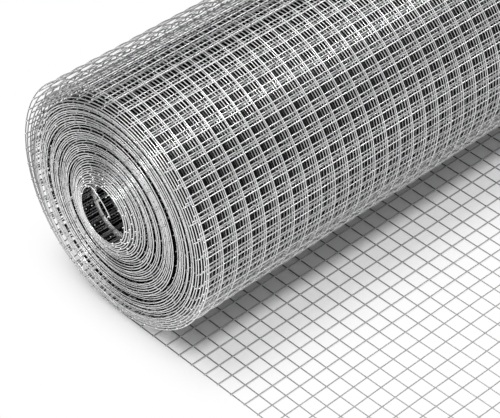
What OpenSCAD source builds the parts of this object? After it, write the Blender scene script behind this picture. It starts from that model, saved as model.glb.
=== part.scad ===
// Roll of welded wire mesh, part unrolled: the roll lies on the free end of its own sheet.
// The origin is on the floor under the roll's axis, at the middle of its width.
// +Y runs along the axis, +X the way the sheet unrolls, +Z up. Millimetres.

/* [Mesh] */
// Spacing of the wires, centre to centre, both ways
mesh_pitch = 12.7; // [8:0.1:26]
// Diameter of the galvanised wire
wire_d = 0.8; // [0.6:0.05:1.6]
// How far two wires sink into each other at a weld
weld_sink = 0.15; // [0.05:0.01:0.3]
// How far a cut cross wire stands past the middle of the edge wire
cut_stub = 1.2; // [0.8:0.1:4]
// Sides of a wire's section
wire_sides = 6; // [4:2:12]

/* [Roll] */
// Mesh openings across the width of the sheet
cells_across = 48; // [12:1:72]
// Diameter of the open core
core_d = 41; // [24:0.5:90]
// Turns of mesh between the core and the outside
turns = 43; // [8:1:60]
// Free space between one turn and the next
turn_slack = 0.2; // [0:0.05:1]
// Sideways drift of the innermost turn against the outermost one
core_drift = 11; // [0:0.5:20]
// Depth of the gap that shows between two edge wires
end_gap_depth = 3; // [1:0.5:8]

/* [Lead] */
// Mesh openings along the flat lead
cells_along = 23; // [8:1:30]
// Distance from the roll's axis back to the first flat cross wire
lead_back = 14.6; // [8:0.1:22]
// Clearance between the flat lead and the roll on top of it
seat_gap = 0.15; // [0.05:0.05:0.3]

/* [Hidden] */

galvanised = [0.74, 0.75, 0.76];
galvanised_shade = [0.62, 0.63, 0.65];

sheet_t = 2 * wire_d - weld_sink;          // both wires of the mesh, welded
sheet_w = cells_across * mesh_pitch;       // between the middles of the edge wires
turn_pitch = sheet_t + turn_slack;
core_r = core_d / 2;
roll_r = core_r + turns * turn_pitch;
axis_z = sheet_t + seat_gap + roll_r;
edge_y = sheet_w / 2 + wire_d / 2;         // outer side of an edge wire
strips = 3;
last_cross = cells_along;                  // number of the cross wire at the sheet's free end
line_z = wire_d / 2;                       // the line wires lie on the floor
cross_z = line_z + wire_d - weld_sink;     // the cross wires lie on top of them
round_fn = 96;

// Axial place of a turn: each one has crept a little further along than the turn around it.
function turn_shift(k) = -core_drift * (turns - 1 - k) / (turns - 1);

// Inner radius of a turn, and of the edge wire at its outside.
function turn_r(k) = core_r + k * turn_pitch;
function edge_wire_r(k) = turn_r(k) + turn_pitch - wire_d;

// Outline of one turn at one end (side is -1 or 1): the gap, then the bead of the edge wire.
function turn_end(k, side) =
    let (bead = turn_shift(k) + side * edge_y,
         floor_y = bead - side * end_gap_depth,
         flank = bead - side * wire_d / 4,
         r0 = edge_wire_r(k),
         bevel = wire_d / 4)
    [[turn_r(k), floor_y], [r0, floor_y], [r0, flank], [r0 + bevel, bead],
     [r0 + wire_d - bevel, bead], [r0 + wire_d, flank]];

function reversed(list) = [for (i = [len(list) - 1 : -1 : 0]) list[i]];

// A straight wire along X from x = 0, with flats on top and underneath.
module wire(length) {
    rotate([0, 90, 0])
        rotate([0, 0, 180 / wire_sides])
            cylinder(h = length, d = wire_d / cos(180 / wire_sides), $fn = wire_sides);
}

// The wound sheet: one turned solid with its core open and its turns showing on both ends.
module roll() {
    near_end = [for (k = [0 : turns - 1]) each turn_end(k, -1)];
    far_end = [for (k = [0 : turns - 1]) each turn_end(k, 1)];
    color(galvanised_shade)
        translate([0, 0, axis_z])
            rotate([-90, 0, 0])
                rotate_extrude($fn = round_fn)
                    polygon(concat(near_end, reversed(far_end)));
}

// Place along X of a cross wire of the lead.
function cross_x(j) = -lead_back + j * mesh_pitch;

// First cross wire of a strip, counted from the roll.
function strip_first(strip) = floor(strip * (last_cross + 1) / strips);

// One of the strips of the flat lead: its own cross wires, welded to every line wire.
// Its line wires end half a mesh past its own cross wires, or at a stub on the sheet's ends.
module lead_strip(strip) {
    first = strip_first(strip);
    last = strip_first(strip + 1) - 1;
    start_x = cross_x(first) - (first == 0 ? cut_stub : mesh_pitch / 2);
    end_x = cross_x(last) + (last == last_cross ? cut_stub : mesh_pitch / 2);
    color(galvanised) {
        for (i = [0 : cells_across])
            translate([start_x, i * mesh_pitch - sheet_w / 2, line_z])
                wire(end_x - start_x);
        for (j = [first : last])
            translate([cross_x(j), -sheet_w / 2 - cut_stub, cross_z])
                rotate([0, 0, 90])
                    wire(sheet_w + 2 * cut_stub);
    }
}

module lead_inner() { lead_strip(0); }
module lead_middle() { lead_strip(1); }
module lead_outer() { lead_strip(2); }

roll();
lead_inner();
lead_middle();
lead_outer();
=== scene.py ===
# %% [markdown]
# # A roll of welded wire mesh, part unrolled
#
# The real object is one sheet of galvanised mesh. Line wires run along its length, cross wires run across
# its width, and they are welded wherever they meet. Most of the sheet is wound into a roll. The rest, the
# lead, lies flat on the floor and the roll rests on it.
#
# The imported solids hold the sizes: a turned drum with its open core, and flat bars for the lead. They load
# as a frame that never moves. This lesson then makes every wire in its place, the zinc, the light and the
# camera.

# %% Load the frame
import math

import bpy
import numpy as np
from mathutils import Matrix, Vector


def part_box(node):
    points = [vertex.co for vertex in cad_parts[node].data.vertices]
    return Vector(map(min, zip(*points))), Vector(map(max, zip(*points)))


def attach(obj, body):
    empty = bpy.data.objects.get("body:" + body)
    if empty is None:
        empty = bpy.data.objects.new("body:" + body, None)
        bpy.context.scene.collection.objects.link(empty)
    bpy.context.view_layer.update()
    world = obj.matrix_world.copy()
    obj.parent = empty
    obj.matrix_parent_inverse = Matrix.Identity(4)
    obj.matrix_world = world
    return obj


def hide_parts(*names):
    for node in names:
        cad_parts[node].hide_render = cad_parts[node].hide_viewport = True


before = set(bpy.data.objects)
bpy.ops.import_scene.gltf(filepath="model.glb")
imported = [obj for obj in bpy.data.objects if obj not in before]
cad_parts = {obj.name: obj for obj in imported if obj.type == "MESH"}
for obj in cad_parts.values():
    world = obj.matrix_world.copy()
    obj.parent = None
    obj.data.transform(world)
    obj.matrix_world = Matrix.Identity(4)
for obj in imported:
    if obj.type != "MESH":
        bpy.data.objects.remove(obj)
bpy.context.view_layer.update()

print("solids:", sorted(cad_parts))

# %% [markdown]
# ## Sizes
# A wire is drawn to one diameter and the mesh is welded on a fixed spacing, so a few numbers drive
# everything. Typing each place by hand would drift away from the solids. Instead the spacing, the axis and
# the core are measured from the frame, and only what the solids don't show is written down.

# %% Measure the sheet from the frame
MM = 0.001
WIRE_D = 0.8 * MM
CUT_STUB = 1.2 * MM          # a cut cross wire stands this far past the middle of the edge wire
CELLS_ACROSS = 48
TURNS = 43

lead_low, lead_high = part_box("lead_inner")[0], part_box("lead_outer")[1]
roll_low, roll_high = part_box("roll")
drum = np.array([corner.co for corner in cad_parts["roll"].data.vertices])

WIRE_R = WIRE_D / 2
SHEET_W = lead_high.y - lead_low.y - 2 * CUT_STUB      # between the middles of the edge wires
MESH = SHEET_W / CELLS_ACROSS
CROSS_SIDE = lead_high.z - lead_low.z - WIRE_D         # from a line wire's middle to a cross wire's middle
AXIS_Z = (roll_low.z + roll_high.z) / 2
CORE_R = np.hypot(drum[:, 0], drum[:, 2] - AXIS_Z).min()
FREE_END = CUT_STUB - lead_high.x                      # place along the sheet of its first cross wire
print(f"mesh {MESH / MM:.2f} mm, axis {AXIS_Z / MM:.2f} mm up, core {2 * CORE_R / MM:.1f} mm across")

# %% [markdown]
# ## The path of the sheet
# Seen from the end, the whole sheet is one long curve: flat along the lead, up round the roll at the
# tangent point, 43 turns inward, then a hooked tail that crosses the core. A Screw modifier could wind a
# plain spiral, but this roll isn't plain. Its outer turns have sprung loose on the side away from the lead,
# and further in they lie now closer and now wider. So the curve is a formula, and all wires take their place
# from it. The spiral comes first.

# %% Wind the spiral
R_OUT = AXIS_Z - WIRE_R                # the outer turn comes off the floor here
R_IN = CORE_R + CROSS_SIDE + WIRE_R
LOOSE = 0.62 * MESH                    # how far the outer turns have sprung, where they are loosest
LOOSE_SIDE = math.radians(165)         # direction of the loosest place, from +X up
LOOSE_TURNS = 3.0                      # how many turns share the spring
LOOSE_FADE = 1.5                       # how sharply it ends after them
# Waves of slack between the turns: how many turns long, and how far they move a turn
BUNCHES = ((5.3, 0.16 * MM), (3.1, 0.08 * MM))
BUNCH_FROM = 6                         # the first turn with such waves
BUNCH_GROWS = 4                        # turns over which they grow, and over which they end by the core
BUNCH_ENDS = 3
TAIL_TURN = 43.39                      # where the tail leaves the innermost turn
PATH_STEP = 0.1 * MM


def turn_angle(turn):
    """Direction of a place on the spiral, from +X up: each turn goes from straight down by -X to +X."""
    return -math.pi / 2 - 2 * math.pi * turn


def ease(x):
    """From 0 to 1 with a soft start and a soft stop."""
    x = np.clip(x, 0, 1)
    return x * x * (3 - 2 * x)


def wound_radius(turn):
    """Distance from the axis to the middle of a line wire."""
    toward = (1 + np.cos(turn_angle(turn) - LOOSE_SIDE)) / 2
    spring = LOOSE * toward
    pitch = (R_OUT - R_IN - spring) / TURNS
    bunch = sum(size * np.sin(2 * math.pi * turn / length) for length, size in BUNCHES)
    bunch = bunch * ease((turn - BUNCH_FROM) / BUNCH_GROWS) * ease((TURNS - turn) / BUNCH_ENDS)
    return R_OUT - pitch * turn - spring * (1 - np.exp(-(turn / LOOSE_TURNS) ** LOOSE_FADE)) + bunch


spiral_turn = np.arange(0, TAIL_TURN, PATH_STEP / (2 * math.pi * R_OUT))
spiral_r = wound_radius(spiral_turn)
spiral_x = spiral_r * np.cos(turn_angle(spiral_turn))
spiral_z = AXIS_Z + spiral_r * np.sin(turn_angle(spiral_turn))
print(f"{TURNS} turns, from {spiral_r[0] / MM:.1f} to {spiral_r[-1] / MM:.1f} mm off the axis")

# %% [markdown]
# ## The two ends of the path
# The lead is a straight line on the floor. In the core the sheet ends in a tail that was never pulled tight:
# a short hook, then a gentle bend across the opening. Two arcs could be drawn by hand, but they would have to
# be moved whenever the spiral changes. Here the tail starts with the heading that the spiral ends with and
# adds up its bend step by step, so the two always meet.
#
# `s` is the distance along the sheet, 0 at the tangent point under the roll, negative along the lead.

# %% Join the lead, the spiral and the tail
HOOK_R = 3 * MM
HOOK_BEND = math.radians(65)
TAIL_R = 45 * MM                       # gentle bend of the rest of the tail
TAIL_L = 25.9 * MM
LEAD_STEP = 10 * PATH_STEP             # a straight line needs fewer points

tail_s = np.arange(0, TAIL_L + MESH, PATH_STEP)
hook_l = HOOK_R * HOOK_BEND
tail_bend = np.where(tail_s < hook_l, tail_s / HOOK_R, HOOK_BEND + (tail_s - hook_l) / TAIL_R)
leaving = math.atan2(spiral_z[-1] - spiral_z[-2], spiral_x[-1] - spiral_x[-2])
tail_x = spiral_x[-1] + np.cumsum(np.cos(leaving - tail_bend)) * PATH_STEP
tail_z = spiral_z[-1] + np.cumsum(np.sin(leaving - tail_bend)) * PATH_STEP

lead_x = np.arange(lead_high.x + MESH, 0, -LEAD_STEP)
path_x = np.concatenate([lead_x, spiral_x, tail_x])
path_z = np.concatenate([np.full_like(lead_x, WIRE_R), spiral_z, tail_z])
path_turn = np.concatenate([np.zeros_like(lead_x), spiral_turn, np.full_like(tail_x, TAIL_TURN)])
path_s = np.concatenate([[0], np.cumsum(np.hypot(np.diff(path_x), np.diff(path_z)))])
path_s -= np.interp(0, -path_x[:len(lead_x) + 1], path_s[:len(lead_x) + 1])
path_heading = np.unwrap(np.arctan2(np.gradient(path_z, path_s), np.gradient(path_x, path_s)))
print(f"path: {-path_s[0]:.2f} m before the roll and {path_s[-1]:.2f} m in it")

# %% [markdown]
# ## Where the cross wires fall
# Which slots stay open between the outer turns depends on how their cross wires lie over each other. A roll
# has no rule for that: a few millimetres of slack in a turn move the next one. Rotating each turn by hand
# would break the sheet between them. So an angle is chosen for a cross wire of each outer turn, and the slack
# that this takes goes into the side that doesn't show. The inner turns stretch by less than a mesh in all, so
# that the sheet ends with a whole one.

# %% Take up the slack
# Angles on the upper right of the roll where a cross wire of each of the outer turns comes to lie
WELD_ANGLES = np.array((48.0, 52.2, 50.4, 49.4, 49.7, 51.8))
SHOWN_SIDE = (0.5, 0.95)               # part of each turn, from its top down, that takes no slack
STRETCH_FROM = 10                      # first of the inner turns that stretch, and how many of them
STRETCH_TURNS = 30

weld_turns = np.arange(len(WELD_ANGLES)) + (-90 - WELD_ANGLES) / 360 % 1
slack = (FREE_END - np.interp(weld_turns, path_turn[len(lead_x):], path_s[len(lead_x):])) / MESH
slack = np.unwrap(slack - np.round(slack), period=1)
shown_turns = np.floor(weld_turns)[:, None] + SHOWN_SIDE
path_s += MESH * np.interp(path_turn, [0, *shown_turns.ravel()], [0, *np.repeat(slack, 2)])
meshes_to_end = (path_s[-1] - MESH - FREE_END) / MESH
last_weld = round(meshes_to_end)
path_s += (last_weld - meshes_to_end) * MESH * ease((path_turn - STRETCH_FROM) / STRETCH_TURNS)
ROLL_END = FREE_END + last_weld * MESH + CUT_STUB
print(f"sheet {(ROLL_END - FREE_END):.2f} m long, {last_weld + 1} cross wires")

# %% [markdown]
# ## How the turns creep
# No hand winds true. Each turn creeps sideways against the last, and now and then a turn slips, which leaves
# a dark gap between two rings on the end of the roll. Proportional editing could push single turns along, but
# would have to be done again after every change. So the creep is a sum over the turns: slips at chosen
# places, and slow swings whose phase is left to chance. The seed is fixed, so every run winds the same roll.

# %% Let the turns creep
rng = np.random.default_rng(7)
SLIP_TURNS = 0.55                      # a slip happens over about half a turn
# Turn at which the winding slipped, and how far toward -Y, in meshes
SLIPS = ((0.4, 0.06), (1.1, 0.01), (2.1, 0.055), (3.1, 0.06), (4.1, 0.075), (5.1, 0.065), (6.1, 0.06),
         (7.4, -0.1), (9, 0.08), (10.3, -0.06), (11.6, 0.1), (14.8, -0.14), (17.5, 0.2), (20, -0.05),
         (23.2, -0.09), (25, 0.1), (28.5, 0.1), (31, -0.12), (33.5, 0.12), (35, 0.06), (36.6, 0.06),
         (38.2, 0.07), (39.6, 0.06), (41, 0.06), (42.2, 0.04))
# Waves to a turn, and how far they swing, in meshes
WOBBLE = ((0.31, 0.006), (0.83, 0.007), (1, 0.03), (1.37, 0.006), (2.6, 0.005))
wobble_phase = rng.uniform(0, 2 * math.pi, len(WOBBLE))


def turn_drift(turn):
    """How far a turn lies toward +Y of where it would be, had it been wound true."""
    slipped = sum(slip * ease((turn - at) / SLIP_TURNS + 0.5) for at, slip in SLIPS)
    swing = sum(size * np.sin(2 * math.pi * per_turn * turn + phase)
                for (per_turn, size), phase in zip(WOBBLE, wobble_phase))
    return (swing * ease(turn) - slipped) * MESH


print(f"the core has crept {turn_drift(TURNS) / MM:.1f} mm")

# %% [markdown]
# ## How the sheet lies
# The free lead doesn't lie dead flat: past the roll it rises off the floor in shallow waves, and its squares
# sway a little. The wound turns ripple too, less and less toward the core. A Displace modifier would move
# the wires apart at their welds, so one function places every point of the sheet, and wires that are welded
# stay together.

# %% Place any point of the sheet
LEAD_LIFT = 1.3 * MM
LEAD_WAVE = 0.8 * MM
LEAD_SWAY = 0.45 * MM
PRESSED = 6 * MESH                     # so much of the lead by the roll is pressed flat
FREED = 14 * MESH                      # over this length the rest comes free
TURN_RIPPLE = 0.22 * MM
RIPPLE_GROWS = 0.2                     # part of the first turn in which the ripple grows
RIPPLE_TURNS = 10                      # it fades toward this turn, but not below the least share
RIPPLE_LEAST = 0.2


def make_waves(count, shortest, longest):
    """Wave numbers along and across the sheet and a phase, for a smooth uneven surface."""
    length = rng.uniform(shortest, longest, count)
    direction = rng.uniform(0, 2 * math.pi, count)
    phase = rng.uniform(0, 2 * math.pi, count)
    return 2 * math.pi * np.cos(direction) / length, 2 * math.pi * np.sin(direction) / length, phase


def waves(kind, s, across):
    """Height of such a surface, about -1 to 1."""
    total = sum(np.sin(s * by_s + across * by_across + phase) for by_s, by_across, phase in zip(*kind))
    return total / math.sqrt(len(kind[0]))


lift_waves = make_waves(count=5, shortest=0.11, longest=0.3)
sway_waves = make_waves(count=6, shortest=0.05, longest=0.2)
slew_waves = make_waves(count=6, shortest=0.05, longest=0.2)
ripple_waves = make_waves(count=6, shortest=0.04, longest=0.16)


def on_sheet(s, across, inward=0.0):
    """Points s along and across the sheet, moved inward from the middle of the line wires."""
    s, across = np.broadcast_arrays(s, across)
    turn = np.interp(s, path_s, path_turn)
    free = ease((-s - PRESSED) / FREED)
    wound = ease(turn / RIPPLE_GROWS) * np.maximum(1 - turn / RIPPLE_TURNS, RIPPLE_LEAST)
    rise = free * np.maximum(LEAD_LIFT + LEAD_WAVE * waves(lift_waves, s, across), 0)
    rise = rise + wound * TURN_RIPPLE * waves(ripple_waves, s, across)
    along = s + free * LEAD_SWAY * waves(sway_waves, s, across)
    y = across + turn_drift(turn) + free * LEAD_SWAY * waves(slew_waves, s, across)
    x = np.interp(along, path_s, path_x)
    z = np.interp(along, path_s, path_z)
    heading = np.interp(along, path_s, path_heading)
    lifted = inward + rise
    return np.stack([x + np.sin(heading) * lifted, y, z - np.cos(heading) * lifted], axis=-1)


print("middle of the free end, in mm:", np.round(on_sheet(FREE_END, 0.0) / MM, 1).tolist())

# %% [markdown]
# ## A tube along a path
# A wire is a round tube along a path. By hand it would be a curve with a bevel, but two thousand loops of
# curve are slow and carry far more faces than wire this thin can show. Here a tube is rings of a few points
# set round a path, and the faces between the rings follow one pattern, so numpy makes a whole bundle of
# wires at once.

# %% Rings and faces
def rings_along(paths, beside, sides):
    """Rings of points round paths (wires, stations, xyz); beside is any direction off the path."""
    ahead = np.gradient(paths, axis=1)
    ahead /= np.linalg.norm(ahead, axis=2, keepdims=True)
    u = beside - (beside * ahead).sum(axis=2, keepdims=True) * ahead
    u /= np.linalg.norm(u, axis=2, keepdims=True)
    v = np.cross(ahead, u)
    turn = (np.arange(sides) + 0.5) * 2 * math.pi / sides
    round_u = np.cos(turn)[:, None] * u[:, :, None, :]
    round_v = np.sin(turn)[:, None] * v[:, :, None, :]
    return paths[:, :, None, :] + WIRE_R * (round_u + round_v)


def tube_faces(wires, stations, sides):
    """The four-cornered sides of a bundle of tubes, and the flat faces at their ends."""
    corner = np.arange(wires * stations * sides).reshape(wires, stations, sides)
    after = np.roll(corner, -1, axis=2)
    quads = np.stack([corner[:, :-1], after[:, :-1], after[:, 1:], corner[:, 1:]], axis=-1).reshape(-1, 4)
    ends = np.concatenate([corner[:, 0, ::-1], corner[:, -1]])
    return quads, ends


print("a straight wire of six sides has", sum(len(kind) for kind in tube_faces(1, 2, 6)), "faces")

# %% [markdown]
# ## One object from many wires
# Each piece of this scene is a mesh of many wires, because thousands of single objects would be slow to move
# and to light. The sides are shaded smooth and the cut ends stay flat, which gives them a crisp edge.
#
# Each point also keeps what the zinc will ask for. `mesh_count` is its place along the wire counted in
# meshes: welds are at whole numbers, so the material can find them. `inside` says how deep in the roll the
# point lies and sets a painted shade there, and the third value sets a painted grey shade, with roughness, on
# the lead and the loose side of the roll.

# %% Join bundles of wires in a mesh object
KEPT_ON_POINTS = ("mesh_count", "inside", "shade_painted")
made = []


def add_wires(name, bundles):
    """One mesh object from bundles of (rings, and for each station its mesh count, painted shade depth and
    painted grey shade).
    """
    points, faces, is_end = [], [], []
    told = {attribute: [] for attribute in KEPT_ON_POINTS}
    start = 0
    for rings, *values in bundles:
        wires, stations, sides = rings.shape[:3]
        quads, ends = tube_faces(wires, stations, sides)
        points.append(rings.reshape(-1, 3))
        faces += (quads + start).tolist() + (ends + start).tolist()
        is_end += [False] * len(quads) + [True] * len(ends)
        for kept, value in zip(told.values(), values):
            kept.append(np.repeat(np.broadcast_to(value, (wires, stations)).ravel(), sides))
        start += wires * stations * sides
    mesh = bpy.data.meshes.new(name)
    mesh.from_pydata(np.concatenate(points).tolist(), [], faces)
    mesh.polygons.foreach_set("use_smooth", [not end for end in is_end])
    mesh.polygons.foreach_set("material_index", [int(end) for end in is_end])
    for attribute, kept in told.items():
        mesh.attributes.new(attribute, "FLOAT", "POINT").data.foreach_set("value", np.concatenate(kept))
    piece = bpy.data.objects.new(name, mesh)
    bpy.context.scene.collection.objects.link(piece)
    made.append(piece)
    print(f"{name}: {sum(len(p.vertices) - 2 for p in mesh.polygons)} triangles")
    return piece


print("each point of a wire keeps:", *KEPT_ON_POINTS)

# %% [markdown]
# ## Where shade is painted
# The wire's colour is painted darker where shade falls and where it mirrors dark things. Under the outer
# turns it gets a painted shade, though less so at the ends of the roll and by the open core. The lead and the
# loose side of the roll get a painted grey shade, which fades on the lead's line wires toward the free end,
# where more light reaches them. Vertex Paint could put this on by hand, but not inside a roll. Two short
# formulas of the place on the sheet can.

# %% Tell how deep and how weathered a place is
# These values set painted shade: how dark the wire is painted deep in the roll, and how grey on the lead and
# the loose side.
EDGE_REACH = 0.15 * MESH               # this far in from the edge a turn is fully covered
SHADED = 0.12                          # share of the painted shade that lies under the first turn alone
SHADED_FROM = 0.8                      # turn at which that share begins
BURIED_FROM = 3.3                      # turn at which the rest begins, over so many turns
BURIED_TURNS = 3
CORE_FROM = 35                         # turn from which the open core lights the wire, over so many turns
CORE_TURNS = 4
LYING = 0.5                            # part of the first turn in which the lead's painted grey shade ends
SHADE_FADE_OVER = 18 * MESH                # length of the lead over which its painted grey shade fades
LOOSE_SHADE = 0.75                            # painted grey shade at the loosest place of the roll
LOOSE_SHADE_FOCUS = 4                         # how closely it keeps to that side
LOOSE_SHADE_TO = 7                            # turn at which that painted shade ends, over so many turns
LOOSE_SHADE_TURNS = 2


def painted_shade_depth(s, across, at_edge):
    """Painted shade in the roll: 0 where air and light reach the wire, 1 deep in the roll, and only a part of
    that at the edges.
    """
    turn = np.interp(s, path_s, path_turn)
    from_edge = SHEET_W / 2 - np.abs(across)
    covered = at_edge + (1 - at_edge) * ease(from_edge / EDGE_REACH)
    depth = SHADED * ease(turn - SHADED_FROM) + (1 - SHADED) * ease((turn - BURIED_FROM) / BURIED_TURNS)
    return depth * covered * (1 - ease((turn - CORE_FROM) / CORE_TURNS))


# The grey that this sets is painted shade for the dark that the lead and the loose side of the roll mirror.
def shade_painted_amount(s, shade_fade):
    """Painted grey shade, which also adds roughness: 1 on the lead by the roll, less toward its free end and
    on loose turns, 0 on tight ones.
    """
    turn = np.interp(s, path_s, path_turn)
    lead_shade = (1 - ease(turn / LYING)) * (1 - shade_fade * ease(-s / SHADE_FADE_OVER))
    loose = (0.5 + 0.5 * np.cos(turn_angle(turn) - LOOSE_SIDE)) ** LOOSE_SHADE_FOCUS
    return np.maximum(lead_shade, LOOSE_SHADE * loose * ease((LOOSE_SHADE_TO - turn) / LOOSE_SHADE_TURNS))


print(f"a tenth of a metre along the first turn the wire is weathered by {shade_painted_amount(0.1, 0):.2f}")

# %% [markdown]
# ## Line wires
# Line wires lie on the outside of the sheet and bend round the roll. An Array modifier could repeat one wire
# across the width, but each has its own ripples, so a function makes a bundle of them. A ring is set at every
# weld, because the wire kinks there, and between welds only as often as the bend needs.

# %% Bundles of line wires
SIDEWAYS = np.array([0.0, 1.0, 0.0])
LINE_AT_EDGE = 0.0                     # an edge wire gets none of the roll's painted shade
LINE_SHADE_FADE = 0.45                     # how much of the painted grey shade fades toward the free end of the lead


def ring_places(s_from, s_to, step):
    """The ends, every weld between them, and more where the wire bends by over a step in degrees."""
    welds = FREE_END + MESH * np.arange(last_weld + 1)
    knots = np.concatenate([[s_from], welds[(welds > s_from + WIRE_D) & (welds < s_to - WIRE_D)], [s_to]])
    bend = np.abs(np.diff(np.interp(knots, path_s, path_heading)))
    parts = np.maximum(1, np.ceil(bend / math.radians(step))).astype(int)
    marks = [np.linspace(a, b, n, endpoint=False) for a, b, n in zip(knots[:-1], knots[1:], parts)]
    return np.concatenate(marks + [[s_to]])


def line_wires(numbers, s_from, s_to, step, sides):
    """Line wires by number from the -Y edge, between two places along the sheet."""
    s = ring_places(s_from, s_to, step)[None, :]
    across = (np.array(numbers) * MESH - SHEET_W / 2)[:, None]
    rings = rings_along(on_sheet(s, across), SIDEWAYS, sides)
    meshes = (s - FREE_END) / MESH
    return rings, meshes, painted_shade_depth(s, across, LINE_AT_EDGE), shade_painted_amount(s, LINE_SHADE_FADE)


def s_of_turn(turn):
    """Place along the sheet where a turn begins, counted from the outside."""
    return np.interp(turn, path_turn[len(lead_x):], path_s[len(lead_x):])


every_wire = range(CELLS_ACROSS + 1)
edge_wires = (0, CELLS_ACROSS)
next_wires = (1, CELLS_ACROSS - 1)
inner_wires = range(2, CELLS_ACROSS - 1)
print(f"{len(every_wire)} line wires, {s_of_turn(1):.2f} m each in the outer turn")

# %% [markdown]
# ## Cross wires
# Cross wires lie on the inside of the sheet, nearly straight, and are cut off just past the edge wires. By
# hand one cylinder would be copied along the path, but the copies would not follow the waves of the sheet.
# So they are bundles too, with rings by both cuts, where the light changes, and as many between as a place
# needs.

# %% Bundles of cross wires
CROSS_AT_EDGE = 0.6                    # share of the roll's painted shade that reaches the cut ends
CROSS_SHADE_FADE = 0.0
CROSS_SHADE_SHARE = 0.7                    # cross wires get less of the painted grey shade


def cross_wires(numbers, parts, sides):
    """Cross wires by number from the free end, with rings by the cuts and so many parts between them."""
    s = (FREE_END + np.array(numbers) * MESH)[:, None]
    reach = SHEET_W / 2 + CUT_STUB
    by_cut = np.array([0, CUT_STUB, CUT_STUB + EDGE_REACH])
    between = np.linspace(2 * EDGE_REACH + CUT_STUB - reach, reach - 2 * EDGE_REACH - CUT_STUB, parts + 1)
    across = np.concatenate([by_cut - reach, between, reach - by_cut[::-1]])[None, :]
    heading = np.interp(s, path_s, path_heading)
    inner = np.stack([np.sin(heading), 0 * heading, -np.cos(heading)], axis=-1)
    rings = rings_along(on_sheet(s, across, CROSS_SIDE), inner, sides)
    meshes = (across + SHEET_W / 2) / MESH
    shade_painted = CROSS_SHADE_SHARE * shade_painted_amount(s, CROSS_SHADE_FADE)
    return rings, meshes, painted_shade_depth(s, across, CROSS_AT_EDGE), shade_painted


def welds_between(turn_from, turn_to):
    """Numbers of the cross wires of these turns."""
    first = math.ceil((s_of_turn(turn_from) - FREE_END) / MESH)
    last = math.ceil((s_of_turn(turn_to) - FREE_END) / MESH)
    return range(first, min(last, last_weld + 1))


print(f"{len(welds_between(0, 1))} cross wires in the outer turn")

# %% [markdown]
# ## The lead
# The lead is the flat free end of the sheet, with line wires on the floor and cross wires welded on top. A
# plane cut in squares with a Wireframe modifier is the quick way to a grid, but it puts both kinds of wire
# in one layer and gives them square sides. Two bundles keep the layers. The lead is what a hand would touch
# first, so its wires get the most sides.

# %% Make the lead
on_lead = range(0, math.ceil(-FREE_END / MESH))
lead = add_wires("lead_mesh", [
    line_wires(every_wire, FREE_END - CUT_STUB, 0, step=8, sides=8),
    cross_wires(on_lead, parts=CELLS_ACROSS * 2, sides=8)])

# %% [markdown]
# ## The roll
# The roll could be a drum with a picture of mesh on it, and from far off that would pass. Here all 43 turns
# are really there. Light falls between the wires and dies away inside, and the deeper turns are also painted
# near black as painted shade, so the slots stay black from every side, as no painted core would. The outer
# turns and the edge wires that show on the ends are fine, the hidden turns coarse, which keeps each piece
# light.

# %% Make the turns
add_wires("outer_turns", [line_wires(every_wire, 0, s_of_turn(2), step=4, sides=6)])
add_wires("second_turns", [line_wires(every_wire, s_of_turn(2), s_of_turn(4), step=4, sides=5)])
add_wires("middle_turns", [
    line_wires(inner_wires, s_of_turn(4), s_of_turn(7), step=13, sides=5),
    line_wires(inner_wires, s_of_turn(7), s_of_turn(13), step=26, sides=3)])
hidden = add_wires("hidden_turns", [line_wires(inner_wires, s_of_turn(13), s_of_turn(41), step=26, sides=3)])
add_wires("core_turns", [line_wires(inner_wires, s_of_turn(41), ROLL_END, step=12, sides=5)])
add_wires("edge_turns", [
    line_wires(edge_wires, s_of_turn(4), ROLL_END, step=6, sides=6),
    line_wires(next_wires, s_of_turn(4), ROLL_END, step=13, sides=4)])

# %% [markdown]
# ## The cross wires of the roll
# A cross wire runs the full width and is nearly straight, so by hand it would be one long cylinder. The outer
# ones follow the ripples of the sheet and get a ring every two meshes. Those inside need no more than their
# two ends, with a few rings close to the cut where the light still reaches.

# %% Make the cross wires of the roll
add_wires("outer_cross_wires", [cross_wires(welds_between(0, 4), parts=CELLS_ACROSS // 2, sides=6)])
add_wires("inner_cross_wires", [cross_wires(welds_between(4, TAIL_TURN + 1), parts=1, sides=6)])

# %% [markdown]
# ## Weld beads
# The mesh is dipped in zinc after welding. Where two wires meet, the zinc runs into the corner and freezes as
# a small bead. One bead is modelled as a low ico sphere and flattened. Thousands of separate objects would
# make the file slow, so its corners are copied to every weld of the lead and of the outer turn, each turned
# to the sheet there, and joined in one mesh. Deeper welds can't be told from the wire.

# %% Model one bead and copy it to the welds
BEAD_L = 1.5 * MM
BEAD_H = 1.0 * MM
bpy.ops.object.select_all(action="DESELECT")
bpy.ops.mesh.primitive_ico_sphere_add(subdivisions=1, radius=0.5)
pattern = bpy.context.object
bead_points = np.array([corner.co for corner in pattern.data.vertices]) * (BEAD_L, BEAD_L, BEAD_H)
bead_faces = np.array([face.vertices for face in pattern.data.polygons])
bpy.data.objects.remove(pattern)


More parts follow.
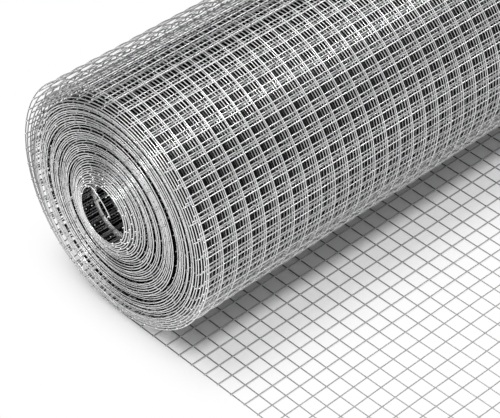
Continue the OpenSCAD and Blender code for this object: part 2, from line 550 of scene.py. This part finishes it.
def add_beads(name, numbers):
    """Beads at every weld of these cross wires, as one mesh object."""
    s = (FREE_END + np.array(numbers) * MESH)[:, None]
    across = (np.array(every_wire) * MESH - SHEET_W / 2)[None, :]
    middle = on_sheet(s, across, CROSS_SIDE / 2).reshape(-1, 1, 3)
    heading = np.broadcast_to(np.interp(s, path_s, path_heading), (len(s), len(every_wire))).ravel()
    none = np.zeros_like(heading)
    ahead = np.stack([np.cos(heading), none, np.sin(heading)], axis=-1)
    inward = np.stack([np.sin(heading), none, -np.cos(heading)], axis=-1)
    frames = np.stack([ahead, np.broadcast_to(SIDEWAYS, ahead.shape), inward], axis=1)
    points = middle + bead_points @ frames
    faces = bead_faces + len(bead_points) * np.arange(len(middle))[:, None, None]
    mesh = bpy.data.meshes.new(name)
    mesh.from_pydata(points.reshape(-1, 3).tolist(), [], faces.reshape(-1, 3).tolist())
    mesh.polygons.foreach_set("use_smooth", [True] * len(mesh.polygons))
    piece = bpy.data.objects.new(name, mesh)
    bpy.context.scene.collection.objects.link(piece)
    made.append(piece)
    print(f"{name}: {len(middle)} beads, {len(mesh.polygons)} triangles")


add_beads("lead_welds", on_lead)
add_beads("outer_welds", welds_between(0, 1))

# %% [markdown]
# ## Zinc
# Hot zinc freezes on the wire in faint patches, some bright and some matt, with small drips, and it is
# duller at the welds. The free lead is painted a dark grey and made rougher: the grey is painted shade for
# the dark its wires mirror, and the loose side of the roll gets part of it. Turns wound tight stay bright.
# Deep inside the roll the wire is painted near black, a painted shade that also keeps the slots black.
#
# One flat grey would miss all of this. A painted image would too, since no one unwraps kilometres of wire. So
# a node group makes the masks: patches and drips are noise in object space, welds come from `mesh_count`,
# and the two attributes of painted shade pass straight through.

# %% The zinc node group
PATCH_SCALE = 180.0
DRIP_SCALE = 1400.0
WELD_REACH = 0.09                      # in meshes


def zinc_group():
    """The masks of a zinc coat and of the painted shade, for any wire that keeps the three attributes."""
    group = bpy.data.node_groups.new("zinc_and_shade_masks", "ShaderNodeTree")
    for name, value in (("Patch Scale", PATCH_SCALE), ("Weld Reach", WELD_REACH)):
        socket = group.interface.new_socket(name, in_out="INPUT", socket_type="NodeSocketFloat")
        socket.default_value = value
    for name in ("Patches", "Weld", "Inside", "Shade Painted", "Height"):
        group.interface.new_socket(name, in_out="OUTPUT", socket_type="NodeSocketFloat")
    nodes, link = group.nodes, group.links.new
    given, result = nodes.new("NodeGroupInput"), nodes.new("NodeGroupOutput")
    place = nodes.new("ShaderNodeTexCoord")
    patches = nodes.new("ShaderNodeTexNoise")
    patches.inputs["Detail"].default_value = 3.0
    drips = nodes.new("ShaderNodeTexNoise")
    drips.inputs["Scale"].default_value = DRIP_SCALE
    told = {}
    for name in KEPT_ON_POINTS:
        told[name] = nodes.new("ShaderNodeAttribute")
        told[name].attribute_name = name
    nearest = nodes.new("ShaderNodeMath")          # how far it is to the nearest weld, at most half a mesh
    nearest.operation = "PINGPONG"
    nearest.inputs[1].default_value = 0.5
    weld = nodes.new("ShaderNodeMapRange")
    weld.interpolation_type = "SMOOTHSTEP"
    weld.inputs["To Min"].default_value = 1.0
    weld.inputs["To Max"].default_value = 0.0
    link(place.outputs["Object"], patches.inputs["Vector"])
    link(place.outputs["Object"], drips.inputs["Vector"])
    link(given.outputs["Patch Scale"], patches.inputs["Scale"])
    link(told["mesh_count"].outputs["Fac"], nearest.inputs[0])
    link(nearest.outputs[0], weld.inputs["Value"])
    link(given.outputs["Weld Reach"], weld.inputs["From Max"])
    link(patches.outputs["Fac"], result.inputs["Patches"])
    link(weld.outputs["Result"], result.inputs["Weld"])
    link(told["inside"].outputs["Fac"], result.inputs["Inside"])
    link(told["shade_painted"].outputs["Fac"], result.inputs["Shade Painted"])
    link(drips.outputs["Fac"], result.inputs["Height"])
    return group


zinc_and_shade_masks = zinc_group()
print("zinc_and_shade_masks gives:", [item.name for item in zinc_and_shade_masks.interface.items_tree if item.in_out == "OUTPUT"])

# %% [markdown]
# ## Tones laid over each other
# A wire has several tones at once. Fresh zinc is patchy between bright and dull, and over it come the tone of
# the welds, the painted grey shade of the lead and the loose side, and the painted shade of the inside, in
# that order. A Color Ramp could hold all the tones, but only along one mask. So each tone is a Mix node of
# its own, laid over the one before.

# %% Mix the colour of the wire
# Both tones below are painted shade: near black for the wire deep in the roll, grey for the dark that the
# lead and the loose side mirror.
INSIDE_SHADE_TONE = (0.02, 0.02, 0.021)
SHADE_PAINTED_TONE = (0.15, 0.151, 0.153)
UNDER, OVER, BLENDED = 6, 7, 2         # colour sockets of a Mix node by number, since its names repeat


def laid_over(tree, tone, mask):
    """A Mix node that lays a tone over what is under it, where the mask is 1."""
    mix = tree.nodes.new("ShaderNodeMix")
    mix.data_type = "RGBA"
    mix.inputs[OVER].default_value = (*tone, 1)
    tree.links.new(mask, mix.inputs["Factor"])
    return mix


def wire_colour(tree, mask_node, patches, bright, dull, weld_tone):
    """A colour socket made from the masks of a zinc_and_shade_masks node."""
    patchy = laid_over(tree, bright, patches)
    patchy.inputs[UNDER].default_value = (*dull, 1)
    colour = patchy.outputs[BLENDED]
    for mask, tone in (("Weld", weld_tone), ("Shade Painted", SHADE_PAINTED_TONE), ("Inside", INSIDE_SHADE_TONE)):
        layer = laid_over(tree, tone, mask_node.outputs[mask])
        tree.links.new(colour, layer.inputs[UNDER])
        colour = layer.outputs[BLENDED]
    return colour


print(f"weathered zinc mirrors {SHADE_PAINTED_TONE[1]:.0%} of the light, wire deep inside {INSIDE_SHADE_TONE[1]:.0%}")

# %% [markdown]
# ## Two finishes
# The metal itself is a Principled BSDF with full Metallic, so its brightness is what it mirrors. A diffuse
# grey would be simpler, but then no wire would ever flash. Dull patches are rougher than bright ones, and
# wire with the painted grey shade is rougher still. The cut ends of the wires get the same build with a
# greyer, rougher steel.

# %% The wire materials
PATCH_RANGE = (0.35, 0.65)             # stretch of the noise that goes from dull to bright
CHALK = 0.3                            # roughness that the full painted grey shade brings with it
DRIP_STRENGTH = 0.15
DRIP_H = 0.05 * MM


def wire_material(name, bright, dull, weld_tone, bright_rough, dull_rough):
    """A metal whose colour, roughness and drips follow the zinc_and_shade_masks masks."""
    material = bpy.data.materials.new(name)
    material.use_nodes = True
    nodes, link = material.node_tree.nodes, material.node_tree.links.new
    surface = nodes["Principled BSDF"]
    surface.inputs["Metallic"].default_value = 1.0
    mask_node = nodes.new("ShaderNodeGroup")
    mask_node.node_tree = zinc_and_shade_masks
    tone = nodes.new("ShaderNodeMapRange")
    tone.inputs["From Min"].default_value, tone.inputs["From Max"].default_value = PATCH_RANGE
    link(mask_node.outputs["Patches"], tone.inputs["Value"])
    colour = wire_colour(material.node_tree, mask_node, tone.outputs["Result"], bright, dull, weld_tone)
    link(colour, surface.inputs["Base Color"])
    rough = nodes.new("ShaderNodeMapRange")
    rough.inputs["To Min"].default_value = dull_rough
    rough.inputs["To Max"].default_value = bright_rough
    chalky = nodes.new("ShaderNodeMath")
    chalky.operation = "MULTIPLY_ADD"
    chalky.inputs[1].default_value = CHALK
    link(tone.outputs["Result"], rough.inputs["Value"])
    link(mask_node.outputs["Shade Painted"], chalky.inputs[0])
    link(rough.outputs["Result"], chalky.inputs[2])
    link(chalky.outputs[0], surface.inputs["Roughness"])
    bump = nodes.new("ShaderNodeBump")
    bump.inputs["Strength"].default_value = DRIP_STRENGTH
    bump.inputs["Distance"].default_value = DRIP_H
    link(mask_node.outputs["Height"], bump.inputs["Height"])
    link(bump.outputs["Normal"], surface.inputs["Normal"])
    return material


zinc = wire_material("zinc_wire", bright=(0.95, 0.952, 0.955), dull=(0.86, 0.863, 0.866),
                     weld_tone=(0.84, 0.843, 0.846), bright_rough=0.22, dull_rough=0.34)
cut_steel = wire_material("cut_wire_end", bright=(0.8, 0.8, 0.8), dull=(0.7, 0.7, 0.7),
                          weld_tone=(0.7, 0.7, 0.7), bright_rough=0.35, dull_rough=0.5)
print("materials:", zinc.name, cut_steel.name)

# %% [markdown]
# ## Finish and body
# Every wire belongs to the one sheet, so all pieces ride on the body `root` and share the zinc, and the wires
# get a second finish for their cut ends. The wound turns stand in for the turned drum, and the lead's mesh
# for its three strips.

# %% Give every piece its finish and body
for piece in made:
    piece.data.materials.append(zinc)
    if "mesh_count" in piece.data.attributes:      # only wires have cut ends, beads don't
        piece.data.materials.append(cut_steel)
    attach(piece, "root")
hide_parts("roll")
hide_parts("lead_inner", "lead_middle", "lead_outer")
total = sum(len(face.vertices) - 2 for piece in made for face in piece.data.polygons)
print(f"{len(made)} pieces, {total} triangles in all")

# %% [markdown]
# ## White all round
# The background is white and so is much of what the metal mirrors. A plain white world at full strength would
# also light every shadow away. So the world gives a soft light from all sides, weaker than white, and the
# lamps can still shape the floor's shadow. A Light Path node lifts it to plain white for what the camera, the
# metal and any glass see directly.

# %% The world
AMBIENT = 0.42


def seen_directly(tree):
    """A socket that is 1 for rays from the camera, a mirror or glass, and 0 for light that spreads."""
    light_path = tree.nodes.new("ShaderNodeLightPath")
    seen = light_path.outputs["Is Camera Ray"]
    for ray in ("Is Glossy Ray", "Is Transmission Ray"):
        either = tree.nodes.new("ShaderNodeMath")
        either.operation = "MAXIMUM"
        tree.links.new(seen, either.inputs[0])
        tree.links.new(light_path.outputs[ray], either.inputs[1])
        seen = either.outputs[0]
    return seen


world = bpy.data.worlds.new("white_studio")
bpy.context.scene.world = world
world.use_nodes = True
sky = world.node_tree.nodes["Background"]
sky.inputs["Color"].default_value = (1, 1, 1, 1)
strength = world.node_tree.nodes.new("ShaderNodeMapRange")
strength.inputs["To Min"].default_value = AMBIENT
strength.inputs["To Max"].default_value = 1.0
world.node_tree.links.new(seen_directly(world.node_tree), strength.inputs["Value"])
world.node_tree.links.new(strength.outputs["Result"], sky.inputs["Strength"])
print(f"world: light {AMBIENT} of white")

# %% [markdown]
# ## Where the floor turns white
# A product shot needs a plain pale floor that carries the shadow and then runs out into white. A bent paper
# sweep with its own lamps would do it. Here a flat plane will do, because its paint turns to plain white away
# from the roll. A mask says where. A plain rectangle covers the shadow, the nearest point of it is found for
# each point of the floor, and the distance between the two, counted in fade lengths, runs from 0 to 1.

# %% A mask round the shadow
SHADOW_LOW = (0.0, -0.285)             # corners of the place under and beside the roll that stays all paint
SHADOW_HIGH = (0.055, 0.32)
FADE_X = 0.12                          # from there the paint turns white over these distances
FADE_Y = 0.05


def vector_step(tree, operation, vector, by=(0, 0, 0)):
    """A Vector Math node that works on a socket, by a fixed vector."""
    step = tree.nodes.new("ShaderNodeVectorMath")
    step.operation = operation
    step.inputs[1].default_value = by
    tree.links.new(vector, step.inputs[0])
    return step


def off_the_shadow(tree):
    """A socket that is 0 on the floor's shadow and 1 well away from it."""
    place = tree.nodes.new("ShaderNodeTexCoord").outputs["Object"]
    below_high = vector_step(tree, "MINIMUM", place, (*SHADOW_HIGH, 0))
    in_shadow = vector_step(tree, "MAXIMUM", below_high.outputs[0], (*SHADOW_LOW, 0))
    away = vector_step(tree, "SUBTRACT", place)
    tree.links.new(in_shadow.outputs[0], away.inputs[1])
    in_fades = vector_step(tree, "MULTIPLY", away.outputs[0], (1 / FADE_X, 1 / FADE_Y, 0))
    how_far = vector_step(tree, "LENGTH", in_fades.outputs[0])
    fade = tree.nodes.new("ShaderNodeMapRange")
    fade.interpolation_type = "SMOOTHSTEP"
    tree.links.new(how_far.outputs["Value"], fade.inputs["Value"])
    return fade.outputs["Result"]


print(f"the floor is white from {SHADOW_HIGH[0] + FADE_X:.2f} m off the axis")

# %% [markdown]
# ## The floor
# The floor is a matt pale plane, and the mask mixes its paint with a plain white glow. The glow counts only
# for what is seen directly, so the white costs no light on the wire, and the shadow close to the roll stays.
# A brighter lamp would whiten the floor too, but would bleach the metal with it. The plane lies a hair under
# the wires, so that no faces fall together.

# %% Lay the floor
FLOOR_SIZE = 12
FLOOR_DROP = 0.02 * MM
bpy.ops.object.select_all(action="DESELECT")
bpy.ops.mesh.primitive_plane_add(size=FLOOR_SIZE, location=(0, 0, -FLOOR_DROP))
floor = bpy.context.object
floor.name = "studio_floor"
floor_paint = bpy.data.materials.new("studio_floor")
floor_paint.use_nodes = True
nodes, link = floor_paint.node_tree.nodes, floor_paint.node_tree.links.new
paint = nodes["Principled BSDF"]
paint.inputs["Base Color"].default_value = (0.95, 0.95, 0.95, 1)
paint.inputs["Roughness"].default_value = 0.9
paint.inputs["Specular IOR Level"].default_value = 0.1
white = nodes.new("ShaderNodeEmission")
white.inputs["Strength"].default_value = 1.0
share = nodes.new("ShaderNodeMath")
share.operation = "MULTIPLY"
blend = nodes.new("ShaderNodeMixShader")
link(off_the_shadow(floor_paint.node_tree), share.inputs[0])
link(seen_directly(floor_paint.node_tree), share.inputs[1])
link(share.outputs[0], blend.inputs[0])
link(paint.outputs[0], blend.inputs[1])
link(white.outputs[0], blend.inputs[2])
link(blend.outputs[0], nodes["Material Output"].inputs["Surface"])
floor.data.materials.append(floor_paint)
print(f"floor {floor.dimensions.x:.0f} m square")

# %% [markdown]
# ## Lamps
# Thin bright metal shows a lamp as a line, where the wire's side mirrors it. A wire along X can only mirror
# what lies on one cone round X, and a wire along Y what lies on another, so each lamp picks its wires. One
# big lamp would be easier to set, but would treat all wires alike. The key is a strip over the roll's
# shoulder for the line wires there. The back box is broad and makes the soft band of shadow beside the roll.
# The rim box stands behind and lights the cross wires from end to end.

# %% The lamps
LAMP_DISTANCE = 4.0


def softbox(name, lean_x, lean_y, share, width, length):
    """A lamp over the roll that leans by degrees toward +X and +Y; share is its part of white."""
    lamp = bpy.data.lights.new(name, "AREA")
    lamp.shape = "RECTANGLE"
    lamp.size = width
    lamp.size_y = length
    toward = np.array([math.tan(math.radians(lean_x)), math.tan(math.radians(lean_y)), 1])
    toward /= np.linalg.norm(toward)
    lamp.energy = share * math.pi ** 2 * LAMP_DISTANCE ** 2 / toward[2]
    box = bpy.data.objects.new(name, lamp)
    bpy.context.scene.collection.objects.link(box)
    box.location = LAMP_DISTANCE * toward
    box.rotation_euler = (math.asin(-toward[1]), math.atan2(toward[0], toward[2]), 0)
    print(f"{name}: {lamp.energy:.0f} W")


softbox("key_box", lean_x=18, lean_y=-14, share=0.36, width=0.5, length=2.4)
softbox("back_box", lean_x=-12, lean_y=-14, share=0.21, width=1.9, length=2.4)
softbox("rim_box", lean_x=-7, lean_y=32.5, share=0.18, width=1.0, length=1.0)

# %% [markdown]
# ## A dark curtain
# In an all-white room bright wire turns white on white and is lost. Photographers of metal hang black cloth
# round the set: the metal mirrors it and gets dark sides. Here it is an open cylinder with a gap toward the
# front right, which keeps the face of the roll bright. Only mirror rays see it. It isn't in the picture and
# takes no light from the floor.

# %% The curtain
CURTAIN_R = 2.0
CURTAIN_H = 1.4
PANELS = 72
GAP_FROM = math.radians(-95)
GAP_TO = math.radians(25)
bpy.ops.object.select_all(action="DESELECT")
bpy.ops.mesh.primitive_cylinder_add(vertices=PANELS, radius=CURTAIN_R, depth=CURTAIN_H,
                                    end_fill_type="NOTHING", location=(0, 0, CURTAIN_H / 2))
curtain = bpy.context.object
curtain.name = "dark_curtain"
bpy.ops.object.mode_set(mode="EDIT")
bpy.ops.mesh.select_mode(type="FACE")
bpy.ops.mesh.select_all(action="DESELECT")
bpy.ops.object.mode_set(mode="OBJECT")
for face in curtain.data.polygons:
    face.select = GAP_FROM < math.atan2(face.center.y, face.center.x) < GAP_TO
bpy.ops.object.mode_set(mode="EDIT")
bpy.ops.mesh.delete(type="FACE")
bpy.ops.object.mode_set(mode="OBJECT")
cloth = bpy.data.materials.new("dark_curtain")
cloth.use_nodes = True
cloth.node_tree.nodes["Principled BSDF"].inputs["Base Color"].default_value = (0.02, 0.02, 0.02, 1)
curtain.data.materials.append(cloth)
curtain.visible_camera = False
curtain.visible_diffuse = False
curtain.visible_shadow = False
print(f"curtain: {len(curtain.data.polygons)} of {PANELS} panels hang")

# %% [markdown]
# ## The camera
# The picture is taken from the front right and above with a long lens, so that the mesh of the lead narrows
# only a little. A camera could be pushed about until it looks right. Here the place and the lens follow from
# the lines of the lead, whose squares are all alike.

# %% The camera
CAMERA_PLACE = (0.8834, -1.0470, 1.0703)
CAMERA_TURN = (49.641, -0.682, 46.128)     # degrees about X, Y and Z
LENS_MM = 164.93
SENSOR_MM = 36
lens = bpy.data.cameras.new("camera")
lens.lens = LENS_MM
lens.sensor_width = SENSOR_MM
camera = bpy.data.objects.new("camera", lens)
bpy.context.scene.collection.objects.link(camera)
camera.location = CAMERA_PLACE
camera.rotation_euler = [math.radians(angle) for angle in CAMERA_TURN]
bpy.context.scene.camera = camera
bpy.context.scene.view_settings.view_transform = "Standard"
print(f"lens {lens.lens:.0f} mm, {camera.location.length:.2f} m from the roll")
